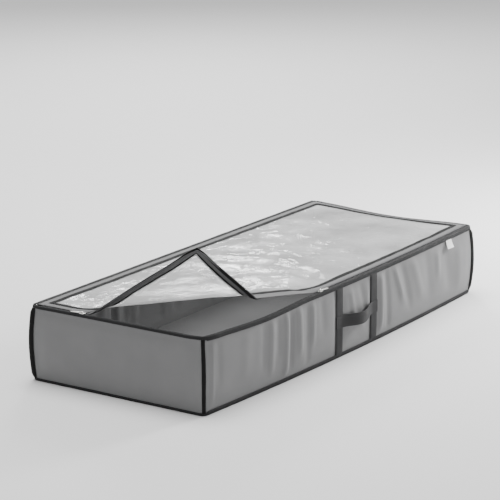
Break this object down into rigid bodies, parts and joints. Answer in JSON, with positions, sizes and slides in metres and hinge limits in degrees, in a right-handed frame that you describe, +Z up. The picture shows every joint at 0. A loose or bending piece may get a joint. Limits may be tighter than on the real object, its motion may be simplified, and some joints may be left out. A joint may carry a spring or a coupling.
{
  "type": "under bed box",
  "caption": "Low, long fabric storage box with bound edges, webbing grab handles and a hinged clear lid that zips round, its corner unzipped and folded up.",
  "frame": {"origin": "on the floor, under the middle of the box", "axes": "+X along the long side, from the end with the unzipped corner to the far end; +Y from the handle side with the zipper to the hinge seam at the back; +Z up"},
  "size_m": [1, 0.4455, 0.2964],
  "materials": {
    "grey_fabric": "matte woven polyester, mid grey",
    "binding_tape": "ribbed charcoal binding and webbing",
    "clear_film": "clear, slightly hazy vinyl film",
    "zipper_coil": "nylon zipper coil on woven tape",
    "nickel": "polished nickel plate",
    "label_cloth": "plain white satin label"
  },
  "bodies": {
    "box": {"bottom_panel": "grey_fabric", "front_panel": "grey_fabric", "back_panel": "grey_fabric", "left_panel": "grey_fabric", "right_panel": "grey_fabric", "corner_binding_front_left": "binding_tape", "corner_binding_front_right": "binding_tape", "corner_binding_back_right": "binding_tape", "corner_binding_back_left": "binding_tape", "bottom_binding_front": "binding_tape", "bottom_binding_right": "binding_tape", "bottom_binding_back": "binding_tape", "bottom_binding_left": "binding_tape", "rim_binding_front": "binding_tape", "rim_binding_right": "binding_tape", "rim_binding_back": "binding_tape", "rim_binding_left": "binding_tape", "zipper_chain_box": "zipper_coil", "zipper_stop_left": "nickel", "zipper_stop_right": "nickel", "handle_strap_front_left": "binding_tape", "handle_strap_front_right": "binding_tape", "handle_strap_back_left": "binding_tape", "handle_strap_back_right": "binding_tape", "care_label": "label_cloth"},
    "lid": {"lid_border_front": "grey_fabric", "lid_border_right": "grey_fabric", "lid_border_back": "grey_fabric", "lid_border_left": "grey_fabric", "lid_back_hem": "binding_tape", "lid_window": "clear_film", "lid_window_binding": "binding_tape", "lid_zipper_left": "zipper_coil", "lid_zipper_right": "zipper_coil"},
    "lid_flap": {"flap_border_front": "grey_fabric", "flap_border_side": "grey_fabric", "flap_window": "clear_film", "flap_window_binding_front": "binding_tape", "flap_window_binding_side": "binding_tape", "flap_zipper": "zipper_coil"},
    "lid_corner": {"corner_border_front": "grey_fabric", "corner_border_side": "grey_fabric", "corner_window": "clear_film", "corner_window_binding": "binding_tape", "corner_zipper": "zipper_coil"},
    "left_slider": {"zip_slider_left": "nickel"},
    "left_pull": {"pull_tab_left": "nickel"},
    "front_slider": {"zip_slider_front": "nickel"},
    "front_pull": {"pull_tab_front": "nickel"},
    "front_grab": {"grab_strap_front": "binding_tape"},
    "back_grab": {"grab_strap_back": "binding_tape"}
  },
  "joints": [
    {"name": "lid_hinge", "type": "hinge", "parent": "box", "child": "lid", "pos_m": [0, 0.20638, 0.15], "axis": [-1, 0, 0], "range_deg": [0, 170]},
    {"name": "lid_flap_lift", "type": "hinge", "parent": "lid", "child": "lid_flap", "pos_m": [-0.5, 0.084, 0.151], "axis": [-0.7948, 0.6069, 0], "range_deg": [-16.5, 21]},
    {"name": "lid_corner_fold", "type": "hinge", "parent": "lid_flap", "child": "lid_corner", "pos_m": [-0.5, 0.084, 0.151], "axis": [-0.5464, 0.8318, -0.0976], "range_deg": [-48, 60]},
    {"name": "left_slider_run", "type": "slide", "parent": "box", "child": "left_slider", "axis": [0, 1, 0], "range_m": [-0.235, 0.08]},
    {"name": "left_pull_flip", "type": "hinge", "parent": "left_slider", "child": "left_pull", "pos_m": [-0.4961, 0.08693, 0.1525], "axis": [1, 0, 0], "range_deg": [0, 173]},
    {"name": "front_slider_run", "type": "hinge", "parent": "box", "child": "front_slider", "pos_m": [0, 8.81913, 0.1502], "axis": [0, 0, 1], "range_deg": [-2.12, 3.67]},
    {"name": "front_pull_flip", "type": "hinge", "parent": "front_slider", "child": "front_pull", "pos_m": [-0.12, -0.20217, 0.1525], "axis": [0, -1, 0], "range_deg": [0, 173]},
    {"name": "front_grab_pull", "type": "slide", "parent": "box", "child": "front_grab", "axis": [0, -1, 0], "range_m": [0, 0.006]},
    {"name": "back_grab_pull", "type": "slide", "parent": "box", "child": "back_grab", "axis": [0, 1, 0], "range_m": [0, 0.006]}
  ],
  "couplings": [
    {"joint": "lid_flap_lift", "follows": "lid_corner_fold", "ratio": 0.34375}
  ]
}
